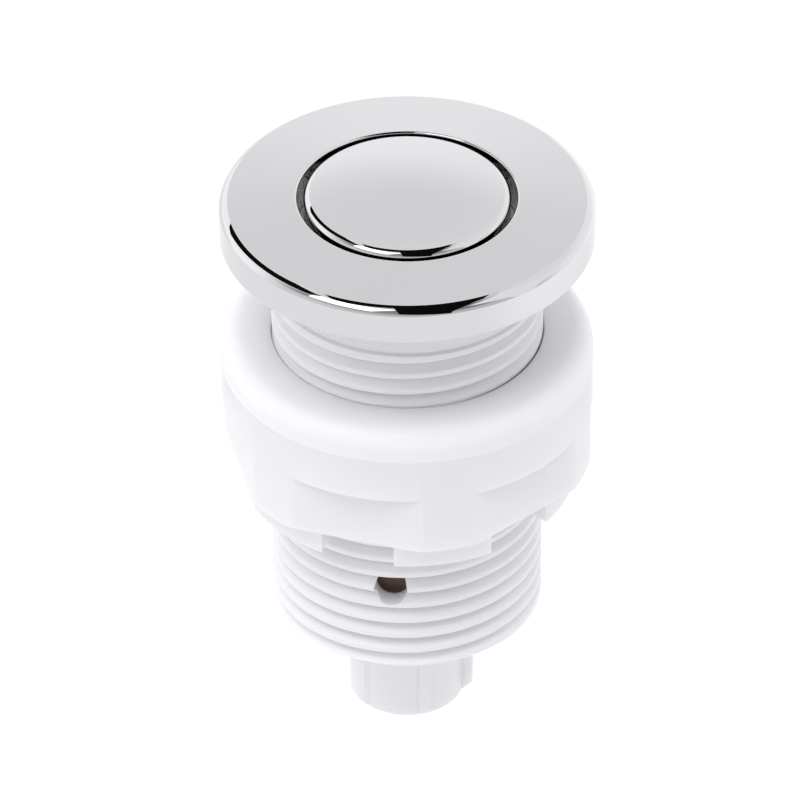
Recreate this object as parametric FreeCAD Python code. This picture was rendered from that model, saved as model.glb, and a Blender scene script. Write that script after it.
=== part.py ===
import FreeCAD, Part
import math
import os

# Sink top air switch. The origin is the centre of the deck seat, where the bezel rests on the
# sink top. +Z points up along the button's axis, and -Y is the side with the vent hole.
# Lengths are in millimetres, and angles in degrees from the front towards the right (+X).

# Bezel
TRIM_REACH = 6.5          # how far it reaches past the barrel's neck, which makes it 45.4 mm wide
TRIM_ROOF = 1.55          # top wall at the outer edge
TRIM_FALL = 0.6           # how much lower the top is at the outer edge than at the hole
TRIM_EDGE_R = 1.0         # round of the outer edge
TRIM_WALL = 1.5           # skirt wall
RIM_CHAMFER = 0.25        # of the button hole's rim
COLLAR_WALL = 1.0         # inner collar that guides the button
COLLAR_L = 4.5            # collar's length, from the rim down
SNAP_REACH = 0.5          # snap bead that holds the bezel on the barrel's plate
SNAP_H = 0.6              # height of that bead

# Button cap
BUTTON_GAP = 0.8          # gap all round, to the bezel's hole, which leaves a 25 mm button
BUTTON_PROUD = 0.4        # how far the cap's edge stands above the rim
BUTTON_DOME = 0.75        # extra height in the middle
BUTTON_EDGE_R = 0.5       # round of the edge
CAP_WALL = 1.2            # skirt wall
CAP_ROOF = 1.4            # top wall

# Plunger
TRAVEL = 4.5              # stroke of the button
SHOULDER_T = 1.7          # thickness of the shoulder
STOP_GAP = 0.3            # gap at rest between a stop and what it stops
SHOULDER_GAP = 0.3        # gap between the shoulder and the wide bore
SKIRT_ROOM = 1.5          # room left under the guide skirt at the end of the stroke
SKIRT_WALL = 1.2
HUB_WALL = 1.4            # ring inside the cap
RIB_COUNT = 6             # ribs inside that ring
RIB_T = 1.0
STEM_D = 8.0
STEM_BORE_D = 4.4
STEM_FLOOR = 1.5          # what the stem's bore leaves at its end
TIP_D = 5.0               # neck at the stem's end, which carries the pad
TIP_L = 2.0

# Barrel
BARREL_L = 53.5           # from the deck down to the barrel's end
THREAD_D = 33.0           # over the thread's crests
THREAD_STEP = 0.3         # how far the crests stand out from the neck
THREAD_PITCH = 2.309      # the thread is drawn as rings at its pitch
THREAD_DEPTH = 1.2
THREAD_START = 8.26       # from the deck down to the middle of the first groove, at the front
NECK_L = 6.2              # from the deck down to the thread
NECK_WALL = 1.85          # wall round the wide bore
BARREL_WALL = 3.2         # wall round the main bore
LOWER_WALL = 2.5          # wall below the inner web, round the bellows and the nozzle's plug
PLATE_T = 1.7             # plate that carries the bezel
OVERTRAVEL = 0.5          # room left under the shoulder at the end of the stroke
END_CHAMFER = 0.3         # at the barrel's end
WEB_DEPTH = 20.0          # from the deck down to the inner web, the spring's seat
WEB_T = 2.5
DRAIN_COUNT = 4           # drain holes through the web
DRAIN_D = 2.4
VENT_D = 4.1              # vent hole through the barrel's wall
VENT_RISE = 11.5          # from the barrel's end up to its centre
VENT_ANGLE = -7.0
GROOVE_DEPTH = 0.3        # snap groove that holds the nozzle's plug
GROOVE_H = 1.4

# Rounds of the bezel's and the nut's edge
ROUND_STEPS = 4           # straight steps that draw one

# Clearances
RUN_FIT = 0.08            # sliding fits of the plunger, radial
SEAT_FIT = 0.05           # where pieces that don't move meet
NUT_CLEAR = 0.3           # between the thread's crests and the nut

# Gasket
GASKET_T = 1.6
GASKET_GAP = 0.3          # to the neck and to the snap bead

# Spring
WIRE_D = 1.1
SPRING_GAP = 1.5          # between the coil and the guide skirt
WIRE_SIDES = 6            # the round wire is drawn with this many sides and its true area
OPEN_HALVES = 6           # half-turns of the open coil
CLOSED_HALVES = 2         # half-turns that lie closed at each end
COIL_GAP = 0.08           # between closed turns

# Pad and bellows
PAD_INSET = 0.7           # how far the pad's rim lies inside the bellows' flat top
PAD_T = 3.4
PAD_EDGE = 0.6            # chamfer round the pad
BELLOWS_GAP = 2.1         # between the folds and the lower bore
FOLD_DEPTH = 3.2          # from a fold's crest to its root
FOLD_COUNT = 3
FOLD_FLAT = 0.7           # flat on each crest and root
BELLOWS_WALL = 1.0
CUFF_L = 6.2              # smooth cuff that grips the nozzle's boss

# Air nozzle
PLUG_T = 3.6              # plug in the barrel's end
PLUG_SINK = 0.4           # how far the plug lies inside the barrel's end
PLUG_FLOOR = 1.6          # wall between the boss and the collar
BOSS_L = 4.6              # boss inside the cuff
BOSS_WALL = 2.5
COLLAR_D = 14.0           # collar that stands out below the barrel
COLLAR_OUT = 15.0         # how far it stands out
COLLAR_SHELL = 1.5        # its wall
COLLAR_CHAMFER = 0.25     # of its lower edge
SPIGOT_D = 4.0            # spigot for the air tube
SPIGOT_BORE_D = 2.0
SPIGOT_SHORT = 3.0        # how far inside the collar the spigot ends
SPIGOT_TIP = 0.4          # chamfer of its tip
LAND_L = 4.5              # plain stretch at the tip
BARB_H = 0.35             # barbs behind that stretch
BARB_L = 2.0
BARB_FLAT = 0.4           # plain stretch below each barb
BARB_COUNT = 2
KEY_W = 2.0               # the collar's keys
KEY_H = 1.15
KEY_ANGLE = 85.0
BACK_KEY_ANGLE = -126.0
BAND_W = 1.5              # low band on the collar
BAND_H = 0.2
BAND_ANGLE = 18.0
FLUTE_R = 1.5             # shallow flute on the collar
FLUTE_DEPTH = 0.25
FLUTE_ANGLE = -43.0

# Lock nut
NUT_WALL = 6.1            # from the thread's crests out to the round flange and the corners
NUT_DEPTH = 14.0          # from the deck down to its upper face, as the photograph shows it
NUT_FLANGE_H = 9.6        # round part, down to where the flats begin
NUT_EDGE_R = 2.4          # round of its upper edge
NUT_FLAT_CUT = 1.5        # how deep the flats are cut
NUT_HEX_H = 7.7           # height of the flats
NUT_TAB_CUT = 2.05        # how far the tabs lie inside the round flange
NUT_TAB_H = 3.7
NUT_SLOT_W = 9.1          # slots between the tabs
NUT_MOUTH = 0.3           # chamfer of the bore
NUT_SIDES = 6
NUT_CORNER_ANGLE = 12.6   # place of one corner

# Levels and radii that follow from those sizes
THREAD_R = THREAD_D / 2
NECK_R = THREAD_R - THREAD_STEP
BORE_R = THREAD_R - BARREL_WALL
LOWER_R = THREAD_R - LOWER_WALL
WIDE_R = NECK_R - NECK_WALL
GUIDE_R = WIDE_R - SEAT_FIT
HOLE_R = GUIDE_R - COLLAR_WALL
CAP_R = HOLE_R - BUTTON_GAP
TRIM_R = NECK_R + TRIM_REACH
SKIRT_IN_R = TRIM_R - TRIM_WALL
PLATE_TOP = GASKET_T + PLATE_T
ROOF_LOW = PLATE_TOP + SEAT_FIT
SHOULDER_Z = ROOF_LOW + TRIM_ROOF
RIM_Z = SHOULDER_Z + TRIM_FALL
GUIDE_LOW = RIM_Z - COLLAR_L
CAP_EDGE_Z = RIM_Z + BUTTON_PROUD
STOP_TOP = GUIDE_LOW - STOP_GAP
STOP_LOW = STOP_TOP - SHOULDER_T
WIDE_LOW = STOP_LOW - TRAVEL - OVERTRAVEL
STEM_R = STEM_D / 2
WEB_TOP = -WEB_DEPTH
WEB_LOW = WEB_TOP - WEB_T
SKIRT_R = BORE_R - RUN_FIT
SKIRT_LOW = WEB_TOP + TRAVEL + SKIRT_ROOM
COIL_R = SKIRT_R - SKIRT_WALL - SPRING_GAP - WIRE_D / 2
PAD_TOP = WEB_LOW - STOP_GAP
PAD_LOW = PAD_TOP - PAD_T
BELLOWS_TOP = PAD_LOW - SEAT_FIT
BARREL_END = -BARREL_L
PLUG_LOW = BARREL_END + PLUG_SINK
PLUG_TOP = PLUG_LOW + PLUG_T
PLUG_R = LOWER_R - SEAT_FIT
FOLD_R = LOWER_R - BELLOWS_GAP
CUFF_R = FOLD_R - FOLD_DEPTH + 2 * BELLOWS_WALL
BOSS_R = CUFF_R - BELLOWS_WALL - SEAT_FIT
COLLAR_R = COLLAR_D / 2
COLLAR_END = BARREL_END - COLLAR_OUT
NUT_R = THREAD_R + NUT_WALL
NUT_TOP = -NUT_DEPTH

ORIGIN = FreeCAD.Vector(0, 0, 0)
UP = FreeCAD.Vector(0, 0, 1)


def outline(points):
    """Flat face inside a closed line through these points."""
    return Part.Face(Part.makePolygon(points + points[:1]))


def turn(corners):
    """Turns a closed profile of (radius, z) corners round the axis."""
    return outline([FreeCAD.Vector(radius, 0, z) for radius, z in corners]).revolve(ORIGIN, UP, 360)


def ring(outer_r, inner_r, low, high):
    """Plain ring between two levels."""
    return turn([(outer_r, low), (outer_r, high), (inner_r, high), (inner_r, low)])


def rod(radius, low, high):
    return Part.makeCylinder(radius, high - low, FreeCAD.Vector(0, 0, low))


def block(width, inner_r, outer_r, low, high, angle):
    """Upright block that runs from one radius to another in the direction of an angle."""
    corner = FreeCAD.Vector(-width / 2, -outer_r, low)
    solid = Part.makeBox(width, outer_r - inner_r, high - low, corner)
    solid.rotate(ORIGIN, UP, angle)
    return solid


def towards(angle, radius, z=0.0):
    """Point at an angle from the front, at a distance from the axis."""
    turned = math.radians(angle)
    return FreeCAD.Vector(radius * math.sin(turned), -radius * math.cos(turned), z)


def spaced(count, start=0.0):
    """Angles evenly spaced round the axis."""
    return [start + 360.0 * number / count for number in range(count)]


def round_corners(radius, z, size):
    """Corners of a rounded outer edge, from the end face round to the side below it."""
    corners = []
    for number in range(ROUND_STEPS + 1):
        turned = math.pi / 2 * (1 - number / ROUND_STEPS)
        out = radius - size + size * math.cos(turned)
        corners.append((out, z - size + size * math.sin(turned)))
    return corners


def round_rims(solid, radius, z, size):
    """Rounds the circular edge that has this radius and level."""
    rims = []
    for edge in solid.Edges:
        if edge.Degenerated or not isinstance(edge.Curve, Part.Circle):
            continue
        circle = edge.Curve
        if abs(circle.Radius - radius) < 1e-4 and abs(circle.Center.z - z) < 1e-4:
            rims.append(edge)
    return solid.makeFillet(size, rims)


def domed_rod(radius, low, edge_z, rise):
    """Cylinder whose upper end is a shallow dome, with its edge at one level."""
    ball_r = (radius ** 2 + rise ** 2) / (2 * rise)
    ball = Part.makeSphere(ball_r, FreeCAD.Vector(0, 0, edge_z + rise - ball_r))
    return rod(radius, low, edge_z + 2 * rise).common(ball)


def trim_flange():
    """Bezel: sloping top, skirt, inner collar and the bead that snaps under the barrel's plate."""
    bead_top = GASKET_T - SEAT_FIT
    rim = [(HOLE_R, RIM_Z - RIM_CHAMFER), (HOLE_R + RIM_CHAMFER, RIM_Z)]
    edge = round_corners(TRIM_R, SHOULDER_Z, TRIM_EDGE_R)
    inside = [
        (TRIM_R, 0),
        (SKIRT_IN_R, 0),
        (SKIRT_IN_R, bead_top - SNAP_H),
        (SKIRT_IN_R - SNAP_REACH, bead_top),
        (SKIRT_IN_R, bead_top),
        (SKIRT_IN_R, ROOF_LOW),
        (GUIDE_R, ROOF_LOW),
        (GUIDE_R, GUIDE_LOW),
        (HOLE_R, GUIDE_LOW),
    ]
    return turn(rim + edge + inside)


def deck_gasket():
    """Soft ring between the barrel's plate and the sink top."""
    outer_r = SKIRT_IN_R - SNAP_REACH - GASKET_GAP
    return ring(outer_r, NECK_R + GASKET_GAP, 0, GASKET_T)


def button_cap():
    """Chromed cap: a shallow dome with a skirt."""
    outside = domed_rod(CAP_R, STOP_TOP, CAP_EDGE_Z, BUTTON_DOME)
    inside = rod(CAP_R - CAP_WALL, STOP_TOP, CAP_EDGE_Z - CAP_ROOF)
    return round_rims(outside.cut(inside), CAP_R, CAP_EDGE_Z, BUTTON_EDGE_R)


def plunger():
    """Carrier of the cap: ribbed hub, shoulder, guide skirt and hollow stem."""
    hub_r = CAP_R - CAP_WALL - SEAT_FIT
    hub_top = CAP_EDGE_Z - CAP_ROOF - SEAT_FIT
    body = turn(
        [
            (0, STOP_LOW),
            (0, STOP_TOP),
            (hub_r - HUB_WALL, STOP_TOP),
            (hub_r - HUB_WALL, hub_top),
            (hub_r, hub_top),
            (hub_r, STOP_TOP),
            (WIDE_R - SHOULDER_GAP, STOP_TOP),
            (WIDE_R - SHOULDER_GAP, STOP_LOW),
            (SKIRT_R, STOP_LOW),
            (SKIRT_R, SKIRT_LOW),
            (SKIRT_R - SKIRT_WALL, SKIRT_LOW),
            (SKIRT_R - SKIRT_WALL, STOP_LOW),
        ]
    )
    body = body.fuse(rod(STEM_R, PAD_TOP, STOP_TOP))
    body = body.fuse(rod(TIP_D / 2, PAD_TOP - TIP_L, PAD_TOP))
    for angle in spaced(RIB_COUNT):
        body = body.fuse(block(RIB_T, 0, hub_r - HUB_WALL / 2, STOP_TOP, hub_top, angle))
    bore = rod(STEM_BORE_D / 2, PAD_TOP - TIP_L + STEM_FLOOR, hub_top)
    return body.cut(bore).removeSplitter()


def pusher_pad():
    """Disc snapped on the stem's neck: it keeps the plunger in and presses the bellows."""
    pad_r = FOLD_R - FOLD_DEPTH - PAD_INSET
    hole_r = TIP_D / 2 + SEAT_FIT
    hole_low = PAD_TOP - TIP_L - SEAT_FIT
    return turn(
        [
            (0, hole_low),
            (hole_r, hole_low),
            (hole_r, PAD_TOP),
            (pad_r, PAD_TOP),
            (pad_r, PAD_LOW + PAD_EDGE),
            (pad_r - PAD_EDGE, PAD_LOW),
            (0, PAD_LOW),
        ]
    )


def half_turn(side, low, rise):
    """Half a turn of the coil's centre line: an arc that starts level and ends level."""
    start = FreeCAD.Vector(side * COIL_R, 0, low)
    end = FreeCAD.Vector(-side * COIL_R, 0, low + rise)
    reach = start.distanceToPoint(end) / 2
    middle = (start + end) * 0.5 + FreeCAD.Vector(0, side * reach, 0)
    return Part.Arc(start, middle, end).toShape()


def wire_section(low):
    """Section of the spring's wire where the coil begins."""
    step = 2 * math.pi / WIRE_SIDES
    corner_r = WIRE_D / 2 * math.sqrt(step / math.sin(step))
    corners = []
    for number in range(WIRE_SIDES):
        turned = (number + 0.5) * step
        across = COIL_R + corner_r * math.cos(turned)
        corners.append(FreeCAD.Vector(across, 0, low + corner_r * math.sin(turned)))
    return outline(corners)


def return_spring():
    """Compression spring between the barrel's web and the plunger, with closed end turns."""
    low = WEB_TOP + WIRE_D / 2 + SEAT_FIT
    high = STOP_LOW - WIRE_D / 2 - SEAT_FIT
    closed = (WIRE_D + COIL_GAP) / 2
    opened = (high - low - 2 * CLOSED_HALVES * closed) / OPEN_HALVES
    rises = [closed] * CLOSED_HALVES + [opened] * OPEN_HALVES + [closed] * CLOSED_HALVES
    level = low
    halves = []
    for number, rise in enumerate(rises):
        halves.append(half_turn(1 - 2 * (number % 2), level, rise))
        level += rise
    return Part.Wire(halves).makePipe(wire_section(low))


def fold_corners(radius, high, low, flat):
    """Corners down one side of the folds, with this much flat on each crest and root."""
    pitch = (high - low) / FOLD_COUNT
    corners = []
    for number in range(FOLD_COUNT):
        root = high - number * pitch
        crest = root - pitch / 2
        if flat:
            corners.append((radius - FOLD_DEPTH, root - flat / 2))
            corners.append((radius, crest + flat / 2))
            corners.append((radius, crest - flat / 2))
            corners.append((radius - FOLD_DEPTH, root - pitch + flat / 2))
        else:
            corners.append((radius - FOLD_DEPTH, root))
            corners.append((radius, crest))
    return corners


def bellows():
    """Rubber bellows: closed top, folds, and a smooth cuff over the nozzle's boss."""
    ceiling = BELLOWS_TOP - BELLOWS_WALL
    cuff_top = PLUG_TOP + CUFF_L
    outer = [(0, BELLOWS_TOP), (FOLD_R - FOLD_DEPTH, BELLOWS_TOP)]
    outer += fold_corners(FOLD_R, ceiling, cuff_top, FOLD_FLAT)
    outer += [(CUFF_R, cuff_top), (CUFF_R, PLUG_TOP)]
    inner_r = FOLD_R - BELLOWS_WALL
    inner_low = cuff_top - BELLOWS_WALL
    inner = [(CUFF_R - BELLOWS_WALL, PLUG_TOP), (CUFF_R - BELLOWS_WALL, inner_low)]
    inner += reversed(fold_corners(inner_r, ceiling, cuff_top, 0))
    inner.append((0, ceiling))
    return turn(outer + inner)


def thread_corners():
    """Corners down the thread's grooves and crests, from the first groove to the barrel's end."""
    corners = []
    groove = -THREAD_START
    while groove - THREAD_PITCH / 2 > BARREL_END:
        corners.append((THREAD_R - THREAD_DEPTH, groove))
        corners.append((THREAD_R, groove - THREAD_PITCH / 2))
        groove -= THREAD_PITCH
    return corners


def threaded_barrel():
    """Moulded barrel: plate, neck, thread, inner web, bores and vent hole."""
    guide_r = STEM_R + RUN_FIT
    groove_z = PLUG_LOW + PLUG_T / 2
    groove_r = LOWER_R + GROOVE_DEPTH
    outside = [
        (WIDE_R, PLATE_TOP),
        (SKIRT_IN_R - SEAT_FIT, PLATE_TOP),
        (SKIRT_IN_R - SEAT_FIT, GASKET_T),
        (NECK_R, GASKET_T),
        (NECK_R, -NECK_L),
        (THREAD_R, -NECK_L - THREAD_STEP),
        (THREAD_R, -THREAD_START + THREAD_PITCH / 2),
    ]
    inside = [
        (THREAD_R - END_CHAMFER, BARREL_END),
        (LOWER_R, BARREL_END),
        (LOWER_R, groove_z - GROOVE_H / 2),
        (groove_r, groove_z - GROOVE_H / 2 + GROOVE_DEPTH),
        (groove_r, groove_z + GROOVE_H / 2 - GROOVE_DEPTH),
        (LOWER_R, groove_z + GROOVE_H / 2),
        (LOWER_R, WEB_LOW),
        (guide_r, WEB_LOW),
        (guide_r, WEB_TOP),
        (BORE_R, WEB_TOP),
        (BORE_R, WIDE_LOW),
        (WIDE_R, WIDE_LOW),
    ]
    body = turn(outside + thread_corners() + inside)
    inner_edge = COIL_R - WIRE_D / 2
    drain_r = (guide_r + inner_edge) / 2
    for angle in spaced(DRAIN_COUNT, 360.0 / DRAIN_COUNT / 2):
        place = towards(angle, drain_r, WEB_LOW)
        body = body.cut(Part.makeCylinder(DRAIN_D / 2, WEB_T, place))
    vent_at = FreeCAD.Vector(0, 0, BARREL_END + VENT_RISE)
    return body.cut(Part.makeCylinder(VENT_D / 2, THREAD_D, vent_at, towards(VENT_ANGLE, 1)))


def spigot_corners(ceiling, tip):
    """Corners down the outside of the air tube's spigot, with its barbs and its plain stretch."""
    radius = SPIGOT_D / 2
    barb_z = tip + LAND_L + BARB_COUNT * BARB_L
    corners = [(radius, ceiling)]
    for number in range(BARB_COUNT):
        top = barb_z - number * BARB_L
        corners.append((radius, top))
        corners.append((radius + BARB_H, top))
        corners.append((radius, top - BARB_L + BARB_FLAT))
    corners += [(radius, tip + SPIGOT_TIP), (radius - SPIGOT_TIP, tip)]
    return corners


def air_nozzle():
    """Plug in the barrel's end, with the bellows' boss, the keyed collar and the tube's spigot."""
    ceiling = PLUG_LOW + (PLUG_T - PLUG_FLOOR) / 2
    boss_top = PLUG_TOP + BOSS_L
    bead_z = PLUG_LOW + PLUG_T / 2
    bead_half = GROOVE_H / 2 - SEAT_FIT
    tip = COLLAR_END + SPIGOT_SHORT
    bore_r = SPIGOT_BORE_D / 2
    corners = [
        (bore_r, ceiling + PLUG_FLOOR),
        (BOSS_R - BOSS_WALL, ceiling + PLUG_FLOOR),
        (BOSS_R - BOSS_WALL, boss_top),
        (BOSS_R, boss_top),
        (BOSS_R, PLUG_TOP),
        (PLUG_R, PLUG_TOP),
        (PLUG_R, bead_z + bead_half),
        (PLUG_R + GROOVE_DEPTH, bead_z),
        (PLUG_R, bead_z - bead_half),
        (PLUG_R, PLUG_LOW),
        (COLLAR_R, PLUG_LOW),
        (COLLAR_R, COLLAR_END + COLLAR_CHAMFER),
        (COLLAR_R - COLLAR_CHAMFER, COLLAR_END),
        (COLLAR_R - COLLAR_SHELL, COLLAR_END),
        (COLLAR_R - COLLAR_SHELL, ceiling),
    ]
    corners += spigot_corners(ceiling, tip)
    corners.append((bore_r, tip))
    body = turn(corners)
    inner_r = COLLAR_R - COLLAR_SHELL / 2
    for angle in (KEY_ANGLE, BACK_KEY_ANGLE):
        body = body.fuse(block(KEY_W, inner_r, COLLAR_R + KEY_H, COLLAR_END, PLUG_LOW, angle))
    body = body.fuse(block(BAND_W, inner_r, COLLAR_R + BAND_H, COLLAR_END, PLUG_LOW, BAND_ANGLE))
    flute_at = towards(FLUTE_ANGLE, COLLAR_R + FLUTE_R - FLUTE_DEPTH, COLLAR_END)
    body = body.cut(Part.makeCylinder(FLUTE_R, PLUG_LOW - COLLAR_END, flute_at))
    return body.removeSplitter()


def hexagon(low, high):
    """Six-sided bar with one corner at the nut's corner angle."""
    corner_r = (NUT_R - NUT_FLAT_CUT) / math.cos(math.pi / NUT_SIDES)
    corners = [towards(angle, corner_r, low) for angle in spaced(NUT_SIDES, NUT_CORNER_ANGLE)]
    return outline(corners).extrude(UP * (high - low))


def lock_nut():
    """Round flange, hexagon with rounded corners, and tabs with slots between them."""
    flange_low = NUT_TOP - NUT_FLANGE_H
    hex_low = flange_low - NUT_HEX_H
    tab_low = hex_low - NUT_TAB_H
    edge = round_corners(NUT_R, NUT_TOP, NUT_EDGE_R)
    flange = turn([(0, NUT_TOP)] + edge + [(NUT_R, flange_low), (0, flange_low)])
    flats = hexagon(hex_low, flange_low).common(rod(NUT_R, hex_low, flange_low))
    tabs = rod(NUT_R - NUT_TAB_CUT, tab_low, hex_low)
    for angle in spaced(NUT_SIDES, NUT_CORNER_ANGLE + 180.0 / NUT_SIDES):
        tabs = tabs.cut(block(NUT_SLOT_W, 0, NUT_R, tab_low, hex_low, angle))
    bore_r = THREAD_R + NUT_CLEAR
    bore = turn(
        [
            (0, NUT_TOP),
            (bore_r + NUT_MOUTH, NUT_TOP),
            (bore_r, NUT_TOP - NUT_MOUTH),
            (bore_r, tab_low),
            (0, tab_low),
        ]
    )
    return flange.fuse(flats).fuse(tabs).cut(bore).removeSplitter()


PIECES = {
    "trim_flange": trim_flange,
    "deck_gasket": deck_gasket,
    "button_cap": button_cap,
    "plunger": plunger,
    "pusher_pad": pusher_pad,
    "return_spring": return_spring,
    "bellows": bellows,
    "threaded_barrel": threaded_barrel,
    "air_nozzle": air_nozzle,
    "lock_nut": lock_nut,
}

os.makedirs("parts", exist_ok=True)
for name, make in PIECES.items():
    piece = make()
    piece.exportStep("parts/" + name + ".step")
    print(name, "solids", len(piece.Solids), "valid", piece.isValid(), "mm3", round(piece.Volume, 1))
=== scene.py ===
"""Sink top air switch: its dressed pieces, finishes, light and camera."""
import math

import bmesh
import bpy
from mathutils import Matrix, Vector


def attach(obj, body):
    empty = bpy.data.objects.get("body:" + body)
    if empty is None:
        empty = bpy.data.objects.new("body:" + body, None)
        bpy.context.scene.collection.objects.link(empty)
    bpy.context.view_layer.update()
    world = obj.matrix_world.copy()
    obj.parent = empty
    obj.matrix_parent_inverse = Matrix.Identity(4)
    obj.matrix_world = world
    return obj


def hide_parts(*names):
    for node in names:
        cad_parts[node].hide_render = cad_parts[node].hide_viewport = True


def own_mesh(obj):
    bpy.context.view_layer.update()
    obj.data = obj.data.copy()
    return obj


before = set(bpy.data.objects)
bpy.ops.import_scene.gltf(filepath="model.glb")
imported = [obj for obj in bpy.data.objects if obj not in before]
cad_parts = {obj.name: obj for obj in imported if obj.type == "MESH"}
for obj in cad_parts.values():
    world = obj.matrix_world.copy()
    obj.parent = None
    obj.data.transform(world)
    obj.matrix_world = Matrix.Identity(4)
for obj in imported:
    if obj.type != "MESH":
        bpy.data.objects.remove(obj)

bl_info = {
    "name": "Sink top air switch",
    "version": (1, 0, 0),
    "blender": (4, 5, 0),
    "location": "3D View > Sidebar > Air switch",
    "description": "Builds the air switch's pieces, finishes and studio over the CAD model",
    "category": "Object",
}

MM = 0.001
STEPS = 192               # steps round a turned piece
THREAD_STEPS = 96         # steps round the barrel and its thread
ARC_STEPS = 6             # steps along a rounded corner
MERGE = 1e-6
SMOOTH_ANGLE = math.radians(32)
EDGE_BULGE = 0.38         # how far in a bevel's middle lies, as a share of its size

# Bezel, in millimetres as in the rest of the sizes
TRIM_R = 22.7
TRIM_SHOULDER = 4.9
TRIM_INNER_R = 21.2
TRIM_ROOF_LOW = 3.35
RIM_Z = 5.5
HOLE_R = 13.3
GUIDE_R = 14.3
GUIDE_LOW = 1.0
BEAD_TOP = 1.55
BEAD_H = 0.6
BEAD_REACH = 0.5

# Button
CAP_R = 12.5
CAP_WALL = 1.2
CAP_ROOF = 1.4
CAP_EDGE_Z = 5.9
CAP_LOW = 0.7
CAP_EDGE = 0.7
DOME_RINGS = 9

# Gasket
GASKET_OUT_R = 20.4
GASKET_IN_R = 16.5
GASKET_T = 1.6

# Barrel
PLATE_TOP = 3.3
PLATE_R = 21.15
NECK_R = 16.2             # smooth part between the plate and the thread
NECK_LOW = -6.2
THREAD_R = 16.5
WIDE_R = 14.35
WIDE_LOW = -6.0
BORE_R = 13.3
LOWER_R = 14.0
STEM_GUIDE_R = 4.08
WEB_TOP = -20.0
WEB_LOW = -22.5
BARREL_END = -53.5
END_CHAMFER = 0.3
SNAP_Z = -51.3
SNAP_HALF = 0.7           # half of the height of the groove in the bore
SNAP_DEPTH = 0.3
VENT_R = 2.05
VENT_Z = -42.0
VENT_ANGLE = -7.0
DRAIN_R = 1.2
DRAIN_AT = 6.2
DRAIN_COUNT = 4

# Thread: the groove's middle at the front, and half of its section as (height, radius)
THREAD_FRONT_Z = -8.26
THREAD_TOP_ANGLE = 191.25
THREAD_END_ANGLE = -7200.0
THREAD_FADE = 10
GROOVE = [
    (0.0, 15.27), (0.11, 15.3), (0.2, 15.4), (0.69, 16.34),
    (0.77, 16.44), (0.9, 16.49), (1.0, 17.2),
]

# Nozzle
PLUG_R = 13.95
PLUG_TOP = -49.5
PLUG_LOW = -53.1
NOZZLE_CEILING = -52.1
NOZZLE_FLOOR = -50.5
BOSS_R = 9.65
BOSS_BORE_R = 7.15
BOSS_TOP = -44.9
COLLAR_R = 7.0
COLLAR_BORE_R = 5.5
COLLAR_END = -68.5
SPIGOT_R = 2.0
SPIGOT_BORE_R = 1.0
SPIGOT_END = -65.5
SPIGOT_LEAD = 0.4         # chamfer at its tip
BARB_REACH = 0.35
BARBS = [(-57.0, -58.6), (-59.0, -60.6)]
BEAD_HALF = 0.65          # half of the height of the plug's snap bead
KEY_ANGLE = 85.0
BACK_KEY_ANGLE = -126.0
BAND_ANGLE = 18.0
FLUTE_ANGLE = -43.0
KEY_H = 1.15
KEY_W = 2.0
KEY_ROOT_R = 6.25         # where keys and band start inside the collar's wall
BAND_W = 1.5
BAND_H = 0.2
BAND_LIFT = 0.3
FLUTE_R = 1.5
FLUTE_AT = 8.25

# Bellows
BELLOWS_TOP = -26.25
BELLOWS_WALL = 1.0
FOLD_R = 11.9
FOLD_DEPTH = 3.2
FOLD_FLAT = 0.7
FOLD_COUNT = 3
CUFF_R = 10.7
CUFF_TOP = -43.3

# Spring
WIRE_R = 0.55
COIL_R = 9.97
SPRING_LOW = -19.95
SPRING_HIGH = -1.05
CLOSED_PITCH = 1.18
OPEN_TURNS = 3
COIL_STEPS = 40

# Lock nut
NUT_R = 22.6
NUT_TOP = -14.0
NUT_EDGE_R = 2.4
NUT_LEDGE = -23.6
NUT_FLAT_R = 21.1
NUT_HEX_LOW = -31.3
NUT_TAB_R = 20.55
NUT_TAB_LOW = -35.0
NUT_BORE_R = 16.56
NUT_MOUTH = 0.12
NUT_CORNER_R = 9.0        # round between two flats
NUT_SEAM = -17.84
SEAM_HALF = 0.09
SEAM_RIDGE = 0.035
TAB_OVERLAP = 0.5         # how far the tabs reach up into the hexagon
NUT_SIDES = 6
NUT_CORNER_ANGLE = 12.6
NUT_SLOT_W = 9.1

# Camera
CAMERA_ELEVATION = 36.476
CAMERA_DISTANCE = 1400.0
CAMERA_TARGET = (-0.87, 0.0, -25.09)
CAMERA_LENS = 516.74

# Studio
AIR_STRENGTH = 1.6
AIR_SLANT = -0.05         # how much the surroundings darken towards the right
BACK_AIR = [(0.0, 0.74), (0.38, 0.71), (0.5, 0.68), (0.6, 0.64), (0.78, 0.63), (1.0, 0.7)]
FRONT_AIR = [(0.0, 0.50), (0.4, 0.46), (0.55, 0.18), (0.85, 0.20), (1.0, 0.45)]
DULL_TOWARDS = (-0.04, 0.754, 0.656)
DULL_FROM = 0.961
DULL_DEPTH = -0.08
FLOOR_SIZE = 6
FLOOR_PALER = (0.07, 0.14, 1.18)  # from and to which x the floor grows paler, and how much
CLIP = (0.05, 20)

# Cards that only show in what is glossy: place, direction of the long side, size, glow
CARDS = {
    "front_card": ((0.18, -0.575, 0.80), (1, 0, 0), (0.54, 1.0), 0.0),
    "left_card": ((-0.67, 0.27, 0.66), (-0.09, 0.75, -0.51), (0.98, 0.27), 0.0),
    "top_card": ((0.0, 0.0, 1.0), (1, 0, 0), (0.9, 0.5), 0.0),
    "pale_card": ((0.78, -0.20, 0.60), (1, 0, 0), (0.8, 0.7), 1.0),
}
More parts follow.
